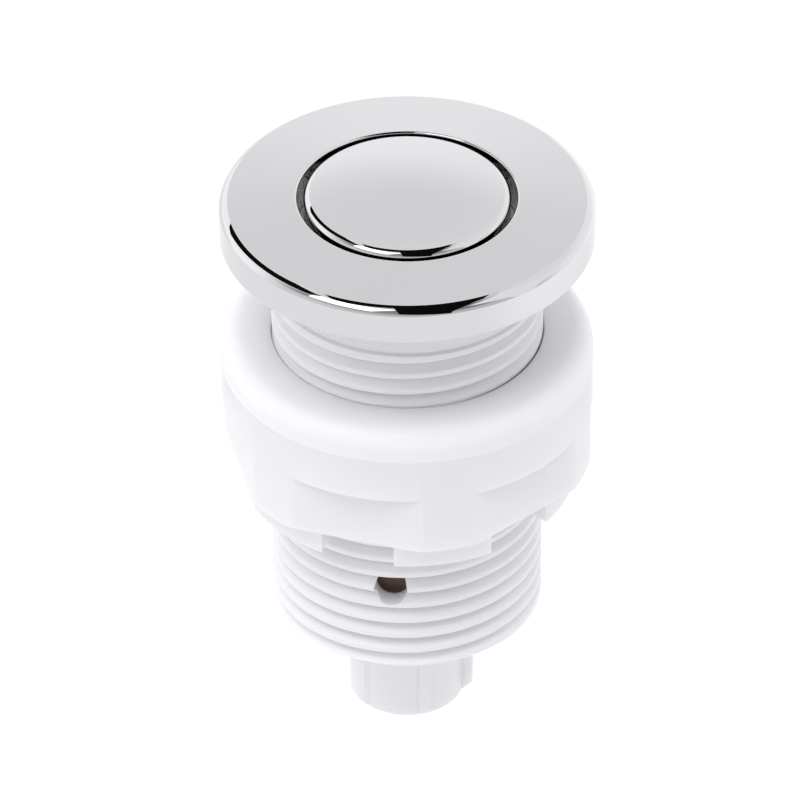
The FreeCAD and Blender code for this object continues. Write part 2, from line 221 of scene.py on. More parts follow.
# Lamps: place, size, watts, whether glossy pieces show them
LAMPS = {
    "key_light": ((-0.42, -0.46, 0.78), (0.62, 0.56), 1.8, True),
    "left_light": ((-0.72, -0.19, 1.19), (0.7, 0.7), 2.8, False),
    "right_light": ((0.72, -0.19, 1.19), (0.7, 0.7), 2.2, False),
    "high_light": ((-0.1, -0.46, 1.34), (0.7, 0.7), 5.4, False),
}

# White plastic: gloss, and how far light spreads inside it
PLASTIC_GLOSS = 0.4
PLASTIC_SPREAD = 0.5
PLASTIC_TINT = (1.0, 0.95, 0.95)
PLASTIC_DEPTH = 0.002


def settings():
    """The user's sizes and finishes."""
    return bpy.context.scene.air_switch


def settle():
    """Leaves edit mode, with nothing selected."""
    active = bpy.context.view_layer.objects.active
    if active and active.mode != "OBJECT":
        bpy.ops.object.mode_set(mode="OBJECT")
    bpy.ops.object.select_all(action="DESELECT")


def take(obj):
    """Makes this object the only selected one."""
    settle()
    obj.select_set(True)
    bpy.context.view_layer.objects.active = obj


def name_it(obj, name):
    obj.name = name
    obj.data.name = name
    return obj


def towards(angle, radius, z=0.0):
    """Point at an angle from the front towards the right, in metres."""
    turned = math.radians(angle)
    return Vector((radius * math.sin(turned), -radius * math.cos(turned), z)) * MM


def spaced(count, start=0.0):
    return [start + 360.0 * number / count for number in range(count)]


def rounded(corners, closed):
    """Points of a profile of (radius, z, rounding) corners, with the rounded ones as arcs."""
    points = []
    count = len(corners)
    for number, (radius, z, rounding) in enumerate(corners):
        here = Vector((radius, z))
        if rounding == 0 or (not closed and number in (0, count - 1)):
            points.append(here)
            continue
        back = (Vector(corners[number - 1][:2]) - here).normalized()
        ahead = (Vector(corners[(number + 1) % count][:2]) - here).normalized()
        half = back.angle(ahead) / 2
        reach = rounding / math.tan(half)
        middle = here + (back + ahead).normalized() * (rounding / math.sin(half))
        first = here + back * reach - middle
        last = here + ahead * reach - middle
        sweep = math.pi - 2 * half
        for step in range(ARC_STEPS + 1):
            along = sweep * step / ARC_STEPS
            arm = (first * math.sin(sweep - along) + last * math.sin(along)) / math.sin(sweep)
            points.append(middle + arm)
    return points


def draw(name, points):
    """Line of edges through (radius, z) points in the plane of +X and Z, left in edit mode."""
    settle()
    start = Vector((points[0][0], 0, points[0][1])) * MM
    bpy.ops.mesh.primitive_plane_add(size=MM, location=(0, 0, 0))
    obj = name_it(bpy.context.object, name)
    bpy.ops.object.mode_set(mode="EDIT")
    bpy.ops.mesh.select_mode(type="VERT")
    bpy.ops.mesh.select_all(action="SELECT")
    bpy.ops.mesh.merge(type="CENTER")
    bpy.ops.mesh.select_all(action="SELECT")
    bpy.ops.transform.translate(value=start)
    for before, after in zip(points, points[1:]):
        move = Vector((after[0] - before[0], 0, after[1] - before[1])) * MM
        bpy.ops.mesh.extrude_vertices_move(TRANSFORM_OT_translate={"value": move})
    return obj


def seal():
    """Merges the doubles of the mesh in edit mode, and turns its faces outwards."""
    bpy.ops.mesh.select_all(action="SELECT")
    bpy.ops.mesh.remove_doubles(threshold=MERGE)
    bpy.ops.mesh.normals_make_consistent(inside=False)


def lathe(name, corners, steps=STEPS, closed=True):
    """Turns a profile of (radius, z, rounding) corners, in millimetres, round the axis."""
    points = rounded(corners, closed)
    if closed:
        points.append(points[0])
    obj = draw(name, points)
    bpy.ops.mesh.select_all(action="SELECT")
    bpy.ops.mesh.spin(steps=steps, angle=2 * math.pi, center=(0, 0, 0), axis=(0, 0, 1))
    seal()
    bpy.ops.object.mode_set(mode="OBJECT")
    return obj


def settle_in_place(obj):
    take(obj)
    bpy.ops.object.transform_apply(location=True, rotation=True, scale=True)
    return obj


def block(name, width, inner_r, outer_r, low, high, angle):
    """Upright block that runs from one radius to another in the direction of an angle."""
    settle()
    middle = towards(angle, (inner_r + outer_r) / 2, (low + high) / 2)
    size = Vector((width, outer_r - inner_r, high - low)) * MM
    turned = (0, 0, math.radians(angle))
    bpy.ops.mesh.primitive_cube_add(size=1, location=middle, rotation=turned, scale=size)
    return settle_in_place(name_it(bpy.context.object, name))


def plate(name, points, thickness):
    """Solid of this outline in the plane of +X and Z, half in front of that plane."""
    obj = draw(name, points + points[:1])
    bpy.ops.mesh.select_all(action="SELECT")
    bpy.ops.mesh.remove_doubles(threshold=MERGE)
    bpy.ops.mesh.edge_face_add()
    bpy.ops.mesh.select_all(action="SELECT")
    bpy.ops.transform.translate(value=(0, -thickness / 2 * MM, 0))
    bpy.ops.mesh.extrude_region_move(TRANSFORM_OT_translate={"value": (0, thickness * MM, 0)})
    seal()
    bpy.ops.object.mode_set(mode="OBJECT")
    return obj


def rod(name, radius, low, high, at=(0, 0), sides=48):
    """Upright round rod, in millimetres."""
    settle()
    place = Vector((at[0], at[1], (low + high) / 2 * MM))
    bpy.ops.mesh.primitive_cylinder_add(
        vertices=sides, radius=radius * MM, depth=(high - low) * MM, location=place
    )
    return settle_in_place(name_it(bpy.context.object, name))


def combine(obj, other, operation):
    """Cuts, joins or keeps what both share, and removes the other object."""
    take(obj)
    bpy.ops.object.modifier_add(type="BOOLEAN")
    modifier = obj.modifiers[-1]
    modifier.operation = operation
    modifier.solver = "EXACT"
    modifier.object = other
    bpy.ops.object.modifier_apply(modifier=modifier.name)
    bpy.data.objects.remove(other)
    return obj


def cut(obj, other):
    return combine(obj, other, "DIFFERENCE")


def fuse(obj, other):
    return combine(obj, other, "UNION")


def soften(obj, width, limit=30.0, segments=2):
    """Rounds the edges that are sharper than a limit."""
    take(obj)
    bpy.ops.object.modifier_add(type="BEVEL")
    modifier = obj.modifiers[-1]
    modifier.width = width * MM
    modifier.segments = segments
    modifier.limit_method = "ANGLE"
    modifier.angle_limit = math.radians(limit)
    modifier.use_clamp_overlap = True
    bpy.ops.object.modifier_apply(modifier=modifier.name)
    return obj


def smooth(obj, weighted=True):
    """Smooth shading up to an angle, with the large faces keeping their own direction."""
    take(obj)
    bpy.ops.object.shade_smooth_by_angle(angle=SMOOTH_ANGLE)
    if weighted:
        bpy.ops.object.modifier_add(type="WEIGHTED_NORMAL")
        modifier = obj.modifiers[-1]
        modifier.keep_sharp = True
        bpy.ops.object.modifier_apply(modifier=modifier.name)
    return obj


def dress(obj, material, body, *nodes):
    """Gives a finished piece its material, its body and the CAD nodes that it stands for."""
    obj.data.materials.clear()
    obj.data.materials.append(finish(material))
    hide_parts(*nodes)
    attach(obj, body)
    return obj


def bevelled(radius, z, size):
    """Corners of a slightly bulging bevel, from the end face down to the side."""
    bulge = size * EDGE_BULGE
    return [
        (radius - size, z, size * 0.12),
        (radius - bulge, z - bulge, size * 1.6),
        (radius, z - size, size * 0.25),
    ]


def dome(radius, edge_z, rise):
    """Points from the middle of a shallow dome out to its edge, all but the edge itself."""
    ball_r = (radius ** 2 + rise ** 2) / (2 * rise)
    points = []
    for number in range(DOME_RINGS):
        out = radius * number / DOME_RINGS
        points.append((out, edge_z + rise - ball_r + math.sqrt(ball_r ** 2 - out ** 2), 0))
    return points


# Finishes


def grain_group():
    """Fine grain of a moulded, plated or drawn surface: a tone near 1 and a height."""
    name = "surface_grain"
    if name in bpy.data.node_groups:
        return bpy.data.node_groups[name]
    group = bpy.data.node_groups.new(name, "ShaderNodeTree")
    face = group.interface
    face.new_socket("Scale", in_out="INPUT", socket_type="NodeSocketFloat")
    face.new_socket("Tone range", in_out="INPUT", socket_type="NodeSocketFloat")
    face.new_socket("Tone", in_out="OUTPUT", socket_type="NodeSocketFloat")
    face.new_socket("Height", in_out="OUTPUT", socket_type="NodeSocketFloat")
    nodes = group.nodes
    links = group.links
    inside = nodes.new("NodeGroupInput")
    outside = nodes.new("NodeGroupOutput")
    place = nodes.new("ShaderNodeTexCoord")
    fine = nodes.new("ShaderNodeTexNoise")
    fine.inputs["Detail"].default_value = 4.0
    broad = nodes.new("ShaderNodeTexNoise")
    broad.inputs["Scale"].default_value = 90.0
    broad.inputs["Detail"].default_value = 2.0
    links.new(place.outputs["Object"], fine.inputs["Vector"])
    links.new(place.outputs["Object"], broad.inputs["Vector"])
    links.new(inside.outputs["Scale"], fine.inputs["Scale"])
    centred = nodes.new("ShaderNodeMath")
    centred.operation = "SUBTRACT"
    centred.inputs[1].default_value = 0.5
    links.new(broad.outputs["Fac"], centred.inputs[0])
    tone = nodes.new("ShaderNodeMath")
    tone.operation = "MULTIPLY_ADD"
    tone.inputs[2].default_value = 1.0
    links.new(centred.outputs[0], tone.inputs[0])
    links.new(inside.outputs["Tone range"], tone.inputs[1])
    links.new(tone.outputs[0], outside.inputs["Tone"])
    links.new(fine.outputs["Fac"], outside.inputs["Height"])
    return group


# slot: property with its colour, metallic, roughness, grain scale, tone range, bump strength
FINISHES = {
    "chrome_plate": ("chrome_colour", 1.0, 0.035, 300.0, 0.02, 0.0),
    "white_plastic": ("plastic_colour", 0.0, 0.34, 2600.0, 0.03, 0.10),
    "natural_plastic": ("natural_colour", 0.0, 0.42, 2200.0, 0.04, 0.10),
    "brown_rubber": ("bellows_colour", 0.0, 0.62, 1800.0, 0.18, 0.35),
    "seal_rubber": ("gasket_colour", 0.0, 0.7, 2000.0, 0.20, 0.35),
    "spring_steel": ("spring_colour", 1.0, 0.28, 1500.0, 0.10, 0.05),
}
BUMP_DISTANCE = 0.00003


def finish(slot):
    """Material of one slot, built on first use."""
    name = "air_switch_" + slot
    if name in bpy.data.materials:
        return bpy.data.materials[name]
    colour_name, metallic, roughness, scale, tone_range, bump_strength = FINISHES[slot]
    material = bpy.data.materials.new(name)
    material.use_nodes = True
    nodes = material.node_tree.nodes
    links = material.node_tree.links
    shader = nodes["Principled BSDF"]
    shader.inputs["Metallic"].default_value = metallic
    shader.inputs["Roughness"].default_value = roughness
    if slot == "white_plastic":
        shader.inputs["Specular IOR Level"].default_value = PLASTIC_GLOSS
        shader.inputs["Subsurface Weight"].default_value = PLASTIC_SPREAD
        shader.inputs["Subsurface Radius"].default_value = PLASTIC_TINT
        shader.inputs["Subsurface Scale"].default_value = PLASTIC_DEPTH
    grain = nodes.new("ShaderNodeGroup")
    grain.node_tree = grain_group()
    grain.inputs["Scale"].default_value = scale
    grain.inputs["Tone range"].default_value = tone_range
    tint = nodes.new("ShaderNodeMix")
    tint.data_type = "RGBA"
    tint.blend_type = "MULTIPLY"
    tint.inputs["Factor"].default_value = 1.0
    colour = getattr(settings(), colour_name)
    tint.inputs[6].default_value = (*colour, 1.0)
    links.new(grain.outputs["Tone"], tint.inputs[7])
    links.new(tint.outputs[2], shader.inputs["Base Color"])
    if bump_strength:
        bump = nodes.new("ShaderNodeBump")
        bump.inputs["Strength"].default_value = bump_strength
        bump.inputs["Distance"].default_value = BUMP_DISTANCE
        links.new(grain.outputs["Height"], bump.inputs["Height"])
        links.new(bump.outputs["Normal"], shader.inputs["Normal"])
    return material


def plain_material(name, colour, glow):
    """Even matt finish of the studio's floor and cards, with a little light of its own."""
    material = bpy.data.materials.new(name)
    material.use_nodes = True
    shader = material.node_tree.nodes["Principled BSDF"]
    shader.inputs["Base Color"].default_value = (*colour, 1)
    shader.inputs["Roughness"].default_value = 1.0
    shader.inputs["Specular IOR Level"].default_value = 0.0
    shader.inputs["Emission Color"].default_value = (1, 1, 1, 1)
    shader.inputs["Emission Strength"].default_value = glow
    return material


# Pieces


class SwitchSettings(bpy.types.PropertyGroup):
    """Sizes and colours that a user would change."""

    thread_pitch: bpy.props.FloatProperty(
        name="Thread pitch", description="Rise of the barrel's thread in one turn",
        default=2.309 * MM, min=MM, unit="LENGTH", precision=4,
    )
    bezel_edge: bpy.props.FloatProperty(
        name="Bezel edge", description="Bevel of the bezel's outer edge",
        default=1.0 * MM, min=0.1 * MM, unit="LENGTH", precision=4,
    )
    button_dome: bpy.props.FloatProperty(
        name="Button dome", description="How much higher the button's middle is than its edge",
        default=0.75 * MM, min=0.1 * MM, unit="LENGTH", precision=4,
    )
    chrome_colour: bpy.props.FloatVectorProperty(
        name="Chrome", description="Colour of the chromed pieces", subtype="COLOR",
        default=(0.69, 0.691, 0.712), min=0.0, max=1.0,
    )
    plastic_colour: bpy.props.FloatVectorProperty(
        name="White plastic", description="Colour of the barrel, nozzle and nut", subtype="COLOR",
        default=(0.825, 0.815, 0.85), min=0.0, max=1.0,
    )
    natural_colour: bpy.props.FloatVectorProperty(
        name="Natural plastic", description="Colour of the plunger and its pad", subtype="COLOR",
        default=(0.76, 0.76, 0.72), min=0.0, max=1.0,
    )
    bellows_colour: bpy.props.FloatVectorProperty(
        name="Bellows rubber", description="Colour of the bellows", subtype="COLOR",
        default=(0.82, 0.60, 0.53), min=0.0, max=1.0,
    )
    gasket_colour: bpy.props.FloatVectorProperty(
        name="Gasket rubber", description="Colour of the sealing ring", subtype="COLOR",
        default=(0.02, 0.02, 0.022), min=0.0, max=1.0,
    )
    spring_colour: bpy.props.FloatVectorProperty(
        name="Spring steel", description="Colour of the return spring", subtype="COLOR",
        default=(0.55, 0.54, 0.53), min=0.0, max=1.0,
    )


class SwitchBezel(bpy.types.Operator):
    """Turns the chromed bezel"""

    bl_idname = "airswitch.bezel"
    bl_label = "Bezel"

    def execute(self, context):
        bead_low = BEAD_TOP - BEAD_H
        corners = [(HOLE_R, RIM_Z, 0.3)]
        corners += bevelled(TRIM_R, TRIM_SHOULDER, settings().bezel_edge / MM)
        corners += [
            (TRIM_R, 0, 0.25),
            (TRIM_INNER_R, 0, 0.2),
            (TRIM_INNER_R, bead_low, 0),
            (TRIM_INNER_R - BEAD_REACH, BEAD_TOP, 0.1),
            (TRIM_INNER_R, BEAD_TOP, 0),
            (TRIM_INNER_R, TRIM_ROOF_LOW, 0.3),
            (GUIDE_R, TRIM_ROOF_LOW, 0.3),
            (GUIDE_R, GUIDE_LOW, 0.15),
            (HOLE_R, GUIDE_LOW, 0.15),
        ]
        dress(smooth(lathe("bezel", corners)), "chrome_plate", "barrel", "trim_flange")
        return {"FINISHED"}


class SwitchButton(bpy.types.Operator):
    """Turns the domed push button"""

    bl_idname = "airswitch.button"
    bl_label = "Button"

    def execute(self, context):
        rise = settings().button_dome / MM
        inner_r = CAP_R - CAP_WALL
        corners = dome(CAP_R - CAP_EDGE, CAP_EDGE_Z, rise)
        corners += bevelled(CAP_R, CAP_EDGE_Z, CAP_EDGE)
        corners += [(CAP_R, CAP_LOW, 0.15), (inner_r, CAP_LOW, 0.15)]
        corners += [(inner_r, CAP_EDGE_Z - CAP_ROOF, 0.3)]
        corners += reversed(dome(inner_r, CAP_EDGE_Z - CAP_ROOF, rise))
        cap = smooth(lathe("push_button", corners, closed=False))
        dress(cap, "chrome_plate", "button", "button_cap")
        return {"FINISHED"}


class SwitchGasket(bpy.types.Operator):
    """Turns the sealing ring under the bezel"""

    bl_idname = "airswitch.gasket"
    bl_label = "Gasket"

    def execute(self, context):
        corners = [
            (GASKET_OUT_R, 0, 0.35),
            (GASKET_OUT_R, GASKET_T, 0.35),
            (GASKET_IN_R, GASKET_T, 0.35),
            (GASKET_IN_R, 0, 0.35),
        ]
        dress(smooth(lathe("sealing_ring", corners)), "seal_rubber", "barrel", "deck_gasket")
        return {"FINISHED"}


def thread_cutter():
    """Groove of the right-hand thread, as one closed helical solid that fades out at its top."""
    pitch = settings().thread_pitch / MM
    start_z = THREAD_FRONT_Z + pitch * THREAD_TOP_ANGLE / 360
    turns = (THREAD_TOP_ANGLE - THREAD_END_ANGLE) / 360
    upper = [(radius, start_z + height) for height, radius in GROOVE]
    lower = [(radius, start_z - height) for height, radius in GROOVE[1:]]
    loop = upper[::-1] + lower
    cutter = draw("thread_cutter", loop + loop[:1])
    bpy.ops.mesh.select_all(action="SELECT")
    bpy.ops.mesh.remove_doubles(threshold=MERGE)
    bpy.ops.object.mode_set(mode="OBJECT")
    bpy.ops.object.modifier_add(type="SCREW")
    modifier = cutter.modifiers[-1]
    modifier.axis = "Z"
    modifier.angle = -2 * math.pi * turns
    modifier.screw_offset = -pitch * MM * turns
    modifier.steps = round(THREAD_STEPS * turns)
    modifier.render_steps = modifier.steps
    modifier.use_smooth_shade = False
    bpy.ops.object.modifier_apply(modifier=modifier.name)
    bpy.ops.object.mode_set(mode="EDIT")
    count = len(loop)
    for ring in range(THREAD_FADE):
        mesh = bmesh.from_edit_mesh(cutter.data)
        mesh.verts.ensure_lookup_table()
        for number, vertex in enumerate(mesh.verts):
            vertex.select_set(number // count == ring)
        mesh.select_flush_mode()
        bmesh.update_edit_mesh(cutter.data)
        grow = 1 + (THREAD_R - GROOVE[0][1] + 0.1) / GROOVE[0][1] * (1 - ring / THREAD_FADE)
        bpy.ops.transform.resize(value=(grow, grow, 1), center_override=(0, 0, 0))
    bpy.ops.mesh.select_all(action="SELECT")
    bpy.ops.mesh.fill_holes(sides=0)
    seal()
    bpy.ops.object.mode_set(mode="OBJECT")
    cutter.rotation_euler = (0, 0, math.radians(THREAD_TOP_ANGLE - 90))
    return settle_in_place(cutter)


class SwitchBarrel(bpy.types.Operator):
    """Turns the barrel and cuts its thread, vent hole and drain holes"""

    bl_idname = "airswitch.barrel"
    bl_label = "Barrel"

    def execute(self, context):
        groove_r = LOWER_R + SNAP_DEPTH
        corners = [
            (WIDE_R, PLATE_TOP, 0.15),
            (PLATE_R, PLATE_TOP, 0.2),
            (PLATE_R, GASKET_T, 0.2),
            (NECK_R, GASKET_T, 0),
            (NECK_R, NECK_LOW, 0),
            (THREAD_R, NECK_LOW - THREAD_R + NECK_R, 0.1),
            (THREAD_R, BARREL_END + END_CHAMFER, 0.15),
            (THREAD_R - END_CHAMFER, BARREL_END, 0.15),
            (LOWER_R, BARREL_END, 0.15),
            (LOWER_R, SNAP_Z - SNAP_HALF, 0),
            (groove_r, SNAP_Z - SNAP_HALF + SNAP_DEPTH, 0),
            (groove_r, SNAP_Z + SNAP_HALF - SNAP_DEPTH, 0),
            (LOWER_R, SNAP_Z + SNAP_HALF, 0),
            (LOWER_R, WEB_LOW, 0.3),
            (STEM_GUIDE_R, WEB_LOW, 0.2),
            (STEM_GUIDE_R, WEB_TOP, 0.2),
            (BORE_R, WEB_TOP, 0.3),
            (BORE_R, WIDE_LOW, 0.1),
            (WIDE_R, WIDE_LOW, 0.1),
        ]
        barrel = lathe("barrel", corners, steps=THREAD_STEPS)
        cut(barrel, thread_cutter())
        vent = rod("vent_cutter", VENT_R, 0, 2 * THREAD_R)
        vent.rotation_euler = (math.pi / 2, 0, 0)
        settle_in_place(vent)
        vent.rotation_euler = (0, 0, math.radians(VENT_ANGLE))
        vent.location = (0, 0, VENT_Z * MM)
        cut(barrel, settle_in_place(vent))
        for angle in spaced(DRAIN_COUNT, 180.0 / DRAIN_COUNT):
            place = towards(angle, DRAIN_AT)
            cut(barrel, rod("drain_cutter", DRAIN_R, WEB_LOW - 1, WEB_TOP + 1, place[:2]))
        dress(smooth(barrel, weighted=False), "white_plastic", "barrel", "threaded_barrel")
        return {"FINISHED"}


class SwitchNozzle(bpy.types.Operator):
    """Turns the air nozzle and adds its keys, band and flute"""

    bl_idname = "airswitch.nozzle"
    bl_label = "Nozzle"

    def execute(self, context):
        corners = [
            (SPIGOT_BORE_R, NOZZLE_FLOOR, 0),
            (BOSS_BORE_R, NOZZLE_FLOOR, 0.3),
            (BOSS_BORE_R, BOSS_TOP, 0.2),
            (BOSS_R, BOSS_TOP, 0.2),
            (BOSS_R, PLUG_TOP, 0.2),
            (PLUG_R, PLUG_TOP, 0.2),
            (PLUG_R, SNAP_Z + BEAD_HALF, 0),
            (PLUG_R + SNAP_DEPTH, SNAP_Z, 0),
            (PLUG_R, SNAP_Z - BEAD_HALF, 0),
            (PLUG_R, PLUG_LOW, 0.15),
            (COLLAR_R, PLUG_LOW, 0.3),
            (COLLAR_R, COLLAR_END, 0.3),
            (COLLAR_BORE_R, COLLAR_END, 0.2),
            (COLLAR_BORE_R, NOZZLE_CEILING, 0.3),
            (SPIGOT_R, NOZZLE_CEILING, 0.3),
        ]
        for high, low in BARBS:
            corners += [(SPIGOT_R, high, 0), (SPIGOT_R + BARB_REACH, high, 0.05), (SPIGOT_R, low, 0)]
        corners += [
            (SPIGOT_R, SPIGOT_END + SPIGOT_LEAD, 0),
            (SPIGOT_R - SPIGOT_LEAD, SPIGOT_END, 0),
            (SPIGOT_BORE_R, SPIGOT_END, 0.1),
        ]
        nozzle = lathe("air_nozzle_body", corners, steps=144)
        high = PLUG_LOW + 0.05
        low = COLLAR_END + 0.05
        outline = [
            (KEY_ROOT_R, high),
            (COLLAR_R + KEY_H, high),
            (COLLAR_R + KEY_H, COLLAR_END + KEY_H),
            (COLLAR_R, low),
            (KEY_ROOT_R, low),
        ]
        for angle in (KEY_ANGLE, BACK_KEY_ANGLE):
            key = plate("key", outline, KEY_W)
            key.rotation_euler = (0, 0, math.radians(angle - 90))
            fuse(nozzle, soften(settle_in_place(key), 0.12))
        low = COLLAR_END + BAND_LIFT
        band = block("band", BAND_W, KEY_ROOT_R, COLLAR_R + BAND_H, low, high, BAND_ANGLE)
        fuse(nozzle, soften(band, 0.1))
        place = towards(FLUTE_ANGLE, FLUTE_AT)
        cut(nozzle, rod("flute_cutter", FLUTE_R, COLLAR_END - 1, PLUG_LOW, place[:2]))
        dress(smooth(nozzle, weighted=False), "white_plastic", "barrel", "air_nozzle")
        return {"FINISHED"}


class SwitchBellows(bpy.types.Operator):
    """Turns the rubber bellows, in its rest shape"""

    bl_idname = "airswitch.bellows"
    bl_label = "Bellows"

    def folds(self, radius, high, low):
        pitch = (high - low) / FOLD_COUNT
        slope = pitch / 2 - FOLD_FLAT
        corners = []
        for number in range(FOLD_COUNT):
            top = high - number * pitch
            crest = top - FOLD_FLAT / 2 - slope
            corners.append((radius - FOLD_DEPTH, top - FOLD_FLAT / 2, 0.3))
            corners.append((radius, crest, 0.3))
            corners.append((radius, crest - FOLD_FLAT, 0.3))
            corners.append((radius - FOLD_DEPTH, crest - FOLD_FLAT - slope, 0.3))
        return corners

    def execute(self, context):
        ceiling = BELLOWS_TOP - BELLOWS_WALL
        inner_r = FOLD_R - BELLOWS_WALL
        cuff_inner_r = CUFF_R - BELLOWS_WALL
        corners = [(0, BELLOWS_TOP, 0), (FOLD_R - FOLD_DEPTH, BELLOWS_TOP, 0.4)]
        corners += self.folds(FOLD_R, ceiling, CUFF_TOP)
        corners += [(CUFF_R, CUFF_TOP, 0.4), (CUFF_R, PLUG_TOP, 0.2)]
        corners += [(cuff_inner_r, PLUG_TOP, 0.2), (cuff_inner_r, CUFF_TOP - BELLOWS_WALL, 0.2)]
        corners += reversed(self.folds(inner_r, ceiling, CUFF_TOP)[1:])
        corners += [(inner_r - FOLD_DEPTH, ceiling, 0), (0, ceiling, 0)]
        skin = smooth(lathe("bellows_skin", corners, steps=96, closed=False), weighted=False)
        dress(skin, "brown_rubber", "barrel", "bellows")
        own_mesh(skin)
        return {"FINISHED"}


class SwitchSpring(bpy.types.Operator):
    """Winds the return spring, with a closed turn at each end"""

    bl_idname = "airswitch.spring"
    bl_label = "Spring"

    def execute(self, context):
        low = SPRING_LOW + WIRE_R
        high = SPRING_HIGH - WIRE_R
        opened = (high - low - 2 * CLOSED_PITCH) / OPEN_TURNS
        pitches = [CLOSED_PITCH] + [opened] * OPEN_TURNS + [CLOSED_PITCH]
        settle()
        bpy.ops.mesh.primitive_circle_add(
            vertices=16, radius=WIRE_R * MM, fill_type="NGON",
            location=(COIL_R * MM, 0, low * MM), rotation=(math.pi / 2, 0, 0),
        )
        coil = settle_in_place(name_it(bpy.context.object, "coil_spring"))
        bpy.ops.object.mode_set(mode="EDIT")
        bpy.ops.mesh.select_mode(type="FACE")
        bpy.ops.mesh.select_all(action="SELECT")
        step = 2 * math.pi / COIL_STEPS
        for pitch in pitches:
            rise = (0, 0, pitch * MM / COIL_STEPS)
            for _ in range(COIL_STEPS):
                bpy.ops.mesh.extrude_region_move(TRANSFORM_OT_translate={"value": rise})
                bpy.ops.transform.rotate(value=-step, orient_axis="Z", center_override=(0, 0, 0))
        seal()
        bpy.ops.object.mode_set(mode="OBJECT")
        dress(smooth(coil, weighted=False), "spring_steel", "barrel", "return_spring")
        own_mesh(coil)
        return {"FINISHED"}


class SwitchNut(bpy.types.Operator):
    """Turns the lock nut and cuts its flats and slots"""

    bl_idname = "airswitch.nut"
    bl_label = "Lock nut"

    def flats(self):
        """What lies outside a hexagon with rounded corners, below the ledge."""
        corner_r = NUT_FLAT_R / math.cos(math.pi / NUT_SIDES)
        corners = []
        for angle in spaced(NUT_SIDES, NUT_CORNER_ANGLE):
            across = corner_r * math.sin(math.radians(angle))
            back = -corner_r * math.cos(math.radians(angle))
            corners.append((across, back, NUT_CORNER_R))
        low = NUT_HEX_LOW - 1
        hexagon = plate("hexagon", rounded(corners, True), 2 * (NUT_LEDGE - low))
        hexagon.rotation_euler = (-math.pi / 2, 0, 0)
        hexagon.location = (0, 0, NUT_LEDGE * MM)
        outside = rod("flat_cutter", NUT_R + 2, low, NUT_LEDGE, sides=STEPS)
        return cut(outside, settle_in_place(hexagon))

    def execute(self, context):
        corners = [
            (NUT_BORE_R + NUT_MOUTH, NUT_TOP, 0.1),
            (NUT_R, NUT_TOP, NUT_EDGE_R),
            (NUT_R, NUT_SEAM + SEAM_HALF, 0),
            (NUT_R + SEAM_RIDGE, NUT_SEAM, 0),
            (NUT_R, NUT_SEAM - SEAM_HALF, 0),
            (NUT_R, NUT_HEX_LOW, 0),
            (NUT_BORE_R, NUT_HEX_LOW, 0),
            (NUT_BORE_R, NUT_TOP - NUT_MOUTH, 0.1),
        ]
        nut = cut(lathe("nut", corners), self.flats())
        tab_corners = [
            (NUT_TAB_R, NUT_TAB_LOW, 0),
            (NUT_TAB_R, NUT_HEX_LOW + TAB_OVERLAP, 0),
            (NUT_BORE_R, NUT_HEX_LOW + TAB_OVERLAP, 0),
            (NUT_BORE_R, NUT_TAB_LOW, 0),
        ]
        tabs = lathe("nut_tabs", tab_corners)
        for angle in spaced(NUT_SIDES, NUT_CORNER_ANGLE + 180.0 / NUT_SIDES):
            low = NUT_TAB_LOW - 1
            cut(tabs, block("slot_cutter", NUT_SLOT_W, 0, NUT_R + 2, low, NUT_HEX_LOW, angle))
        fuse(nut, soften(tabs, 0.15, limit=60))
        dress(smooth(nut, weighted=False), "white_plastic", "nut", "lock_nut")
        return {"FINISHED"}


class SwitchHidden(bpy.types.Operator):
    """Gives the plunger and its pad their material"""

    bl_idname = "airswitch.hidden"
    bl_label = "Plunger and pad"

    def execute(self, context):
        for name in ("plunger", "pusher_pad"):
            node = bpy.data.objects[name]
            node.data.materials.clear()
            node.data.materials.append(finish("natural_plastic"))
        return {"FINISHED"}


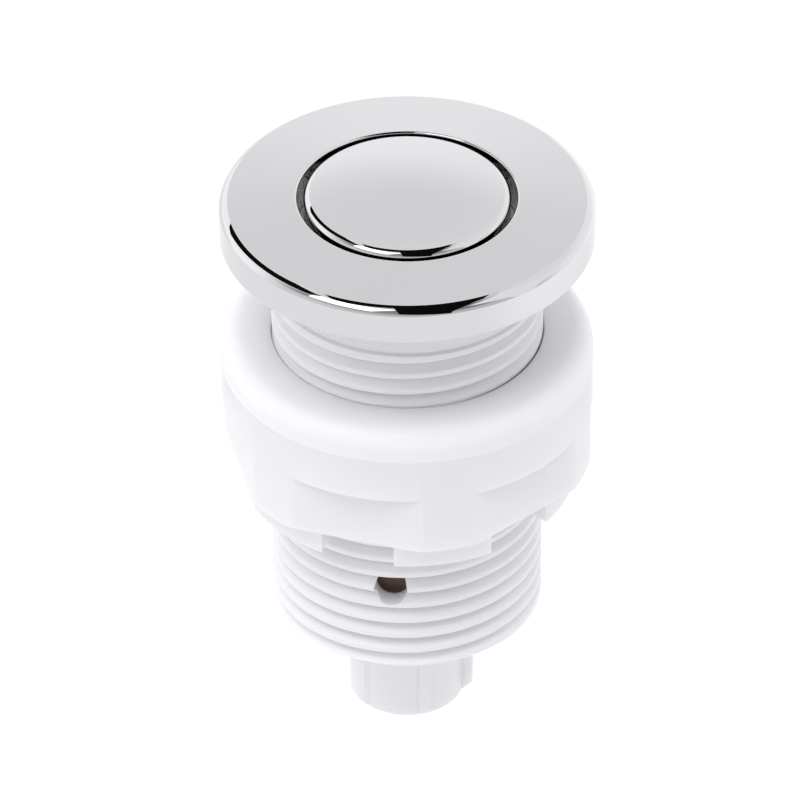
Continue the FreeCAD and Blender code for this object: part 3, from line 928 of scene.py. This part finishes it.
class SwitchStage(bpy.types.Operator):
    """Lays the floor and sets the light and the camera"""

    bl_idname = "airswitch.stage"
    bl_label = "Studio"

    def execute(self, context):
        scene = context.scene
        scene.view_settings.view_transform = "Standard"
        settle()
        bpy.ops.mesh.primitive_plane_add(size=FLOOR_SIZE, location=(0, 0, COLLAR_END * MM))
        floor = name_it(bpy.context.object, "floor")
        paper = plain_material("studio_paper", (0.02, 0.02, 0.02), 1.0)
        self.lighter_right(paper)
        floor.data.materials.append(paper)
        self.air(scene)
        for name, values in CARDS.items():
            self.card(name, *values)
        for name, values in LAMPS.items():
            self.lamp(name, *values)
        self.camera(scene)
        return {"FINISHED"}

    def camera(self, scene):
        """Long lens at the photograph's height and distance."""
        camera = bpy.data.objects.new("camera", bpy.data.cameras.new("camera"))
        scene.collection.objects.link(camera)
        lift = math.radians(CAMERA_ELEVATION)
        back = Vector((0, -math.cos(lift), math.sin(lift)))
        camera.location = (Vector(CAMERA_TARGET) + back * CAMERA_DISTANCE) * MM
        camera.rotation_euler = (math.pi / 2 - lift, 0, 0)
        camera.data.lens = CAMERA_LENS
        camera.data.sensor_width = 36
        camera.data.clip_start, camera.data.clip_end = CLIP
        scene.camera = camera

    def lighter_right(self, paper):
        """Lets the floor glow more on the right, which the bezel's side wall shows."""
        nodes = paper.node_tree.nodes
        links = paper.node_tree.links
        place = nodes.new("ShaderNodeTexCoord")
        split = nodes.new("ShaderNodeSeparateXYZ")
        links.new(place.outputs["Object"], split.inputs[0])
        glow = nodes.new("ShaderNodeMapRange")
        start, end, most = FLOOR_PALER
        glow.inputs["From Min"].default_value = start
        glow.inputs["From Max"].default_value = end
        glow.inputs["To Min"].default_value = 1.0
        glow.inputs["To Max"].default_value = most
        glow.interpolation_type = "SMOOTHSTEP"
        links.new(split.outputs["X"], glow.inputs["Value"])
        links.new(glow.outputs[0], nodes["Principled BSDF"].inputs["Emission Strength"])

    def gradient(self, nodes, stops):
        """Ramp through (position, level) stops."""
        ramp = nodes.new("ShaderNodeValToRGB")
        elements = ramp.color_ramp.elements
        while len(elements) < len(stops):
            elements.new(0.5)
        for element, (position, level) in zip(elements, stops):
            element.position = position
            element.color = (level, level, level, 1)
        return ramp

    def air(self, scene):
        """Soft surroundings, darker high in front, with a dull patch behind for the button."""
        world = bpy.data.worlds.new("studio_air")
        scene.world = world
        world.use_nodes = True
        nodes = world.node_tree.nodes
        links = world.node_tree.links
        background = nodes["Background"]
        background.inputs["Color"].default_value = (1, 1, 1, 1)
        place = nodes.new("ShaderNodeTexCoord")
        split = nodes.new("ShaderNodeSeparateXYZ")
        links.new(place.outputs["Generated"], split.inputs[0])
        back = self.gradient(nodes, BACK_AIR)
        front = self.gradient(nodes, FRONT_AIR)
        links.new(split.outputs["Z"], back.inputs["Fac"])
        links.new(split.outputs["Z"], front.inputs["Fac"])
        forward = nodes.new("ShaderNodeMapRange")
        forward.inputs["From Min"].default_value = 0.2
        forward.inputs["From Max"].default_value = -0.3
        forward.interpolation_type = "SMOOTHSTEP"
        links.new(split.outputs["Y"], forward.inputs["Value"])
        sides = nodes.new("ShaderNodeMix")
        links.new(forward.outputs[0], sides.inputs[0])
        links.new(back.outputs["Color"], sides.inputs[2])
        links.new(front.outputs["Color"], sides.inputs[3])
        across = nodes.new("ShaderNodeMath")
        across.operation = "MULTIPLY_ADD"
        across.inputs[1].default_value = AIR_SLANT
        links.new(split.outputs["X"], across.inputs[0])
        links.new(sides.outputs[0], across.inputs[2])
        dull = nodes.new("ShaderNodeVectorMath")
        dull.operation = "DOT_PRODUCT"
        dull.inputs[1].default_value = DULL_TOWARDS
        links.new(place.outputs["Generated"], dull.inputs[0])
        patch = nodes.new("ShaderNodeMapRange")
        patch.inputs["From Min"].default_value = DULL_FROM
        patch.inputs["From Max"].default_value = 1.0
        patch.inputs["To Min"].default_value = 0.0
        patch.inputs["To Max"].default_value = DULL_DEPTH
        patch.interpolation_type = "SMOOTHSTEP"
        links.new(dull.outputs["Value"], patch.inputs["Value"])
        both = nodes.new("ShaderNodeMath")
        both.operation = "ADD"
        links.new(across.outputs[0], both.inputs[0])
        links.new(patch.outputs[0], both.inputs[1])
        scaled = nodes.new("ShaderNodeMath")
        scaled.operation = "MULTIPLY"
        scaled.inputs[1].default_value = AIR_STRENGTH
        links.new(both.outputs[0], scaled.inputs[0])
        links.new(scaled.outputs[0], background.inputs["Strength"])

    def card(self, name, place, across, size, glow):
        """Card, black or lit, that faces the switch and only shows in what is glossy."""
        settle()
        facing = -Vector(place).normalized()
        side = (Vector(across) - facing * facing.dot(Vector(across))).normalized()
        bpy.ops.mesh.primitive_plane_add(size=1, location=place)
        card = name_it(bpy.context.object, name)
        turned = Matrix((side, facing.cross(side), facing)).transposed()
        card.rotation_euler = turned.to_euler()
        card.scale = (size[0], size[1], 1)
        card.visible_camera = False
        card.visible_diffuse = False
        card.visible_shadow = False
        card.data.materials.append(plain_material(name, (0.004, 0.004, 0.004), glow))

    def lamp(self, name, place, size, power, shown):
        """Soft lamp that faces the switch."""
        data = bpy.data.lights.new(name, "AREA")
        data.shape = "RECTANGLE"
        data.size, data.size_y = size
        data.energy = power
        lamp = bpy.data.objects.new(name, data)
        bpy.context.scene.collection.objects.link(lamp)
        lamp.location = place
        lamp.rotation_euler = (-Vector(place)).to_track_quat("-Z", "Y").to_euler()
        lamp.visible_glossy = shown


class SwitchPanel(bpy.types.Panel):
    """Lists the pieces' operators and the user's settings"""

    bl_idname = "VIEW3D_PT_airswitch"
    bl_label = "Sink top air switch"
    bl_space_type = "VIEW_3D"
    bl_region_type = "UI"
    bl_category = "Air switch"

    def draw(self, context):
        for name in SwitchSettings.__annotations__:
            self.layout.prop(context.scene.air_switch, name)
        for step in STEPS_IN_ORDER:
            self.layout.operator(step.bl_idname)


STEPS_IN_ORDER = (
    SwitchBezel,
    SwitchButton,
    SwitchGasket,
    SwitchBarrel,
    SwitchNozzle,
    SwitchBellows,
    SwitchSpring,
    SwitchNut,
    SwitchHidden,
    SwitchStage,
)
CLASSES = (SwitchSettings, *STEPS_IN_ORDER, SwitchPanel)


def register():
    for item in CLASSES:
        bpy.utils.register_class(item)
    bpy.types.Scene.air_switch = bpy.props.PointerProperty(type=SwitchSettings)


def unregister():
    del bpy.types.Scene.air_switch
    for item in reversed(CLASSES):
        bpy.utils.unregister_class(item)


def main():
    """Builds everything in order."""
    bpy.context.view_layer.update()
    register()
    for step in STEPS_IN_ORDER:
        family, name = step.bl_idname.split(".")
        getattr(getattr(bpy.ops, family), name)()


if __name__ == "__main__":
    main()
